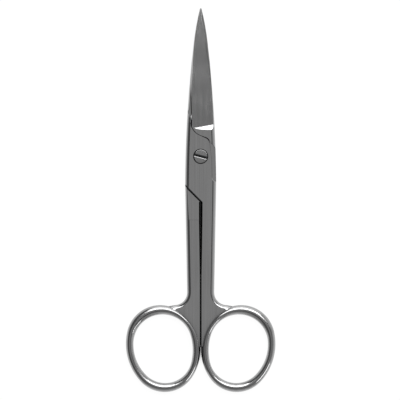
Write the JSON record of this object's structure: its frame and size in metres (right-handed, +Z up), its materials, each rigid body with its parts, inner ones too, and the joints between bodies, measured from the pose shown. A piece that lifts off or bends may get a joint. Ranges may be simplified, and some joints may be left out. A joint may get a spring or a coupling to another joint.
{
  "type": "first aid scissors",
  "caption": "Straight sharp-pointed steel scissors for first aid and dressings, with oval finger rings and blades that turn on a slotted pivot screw.",
  "frame": {"origin": "under the middle of the whole length, on the surface that the closed scissors lie on", "axes": "+Y towards the tips, +Z up, away from the surface and towards the screw's head, +X to the right seen from above with the tips pointing away"},
  "size_m": [0.0566, 0.1448, 0.0042],
  "materials": {
    "front_steel": "polished",
    "rear_steel": "polished",
    "screw_steel": "satin"
  },
  "bodies": {
    "rear_half": {"rear_half": "rear_steel", "pivot_screw": "screw_steel"},
    "front_half": {"front_half": "front_steel"}
  },
  "joints": [
    {"name": "pivot", "type": "hinge", "parent": "rear_half", "child": "front_half", "pos_m": [0, 0.01655, 0.0021], "axis": [0, 0, 1], "range_deg": [0, 60]}
  ]
}
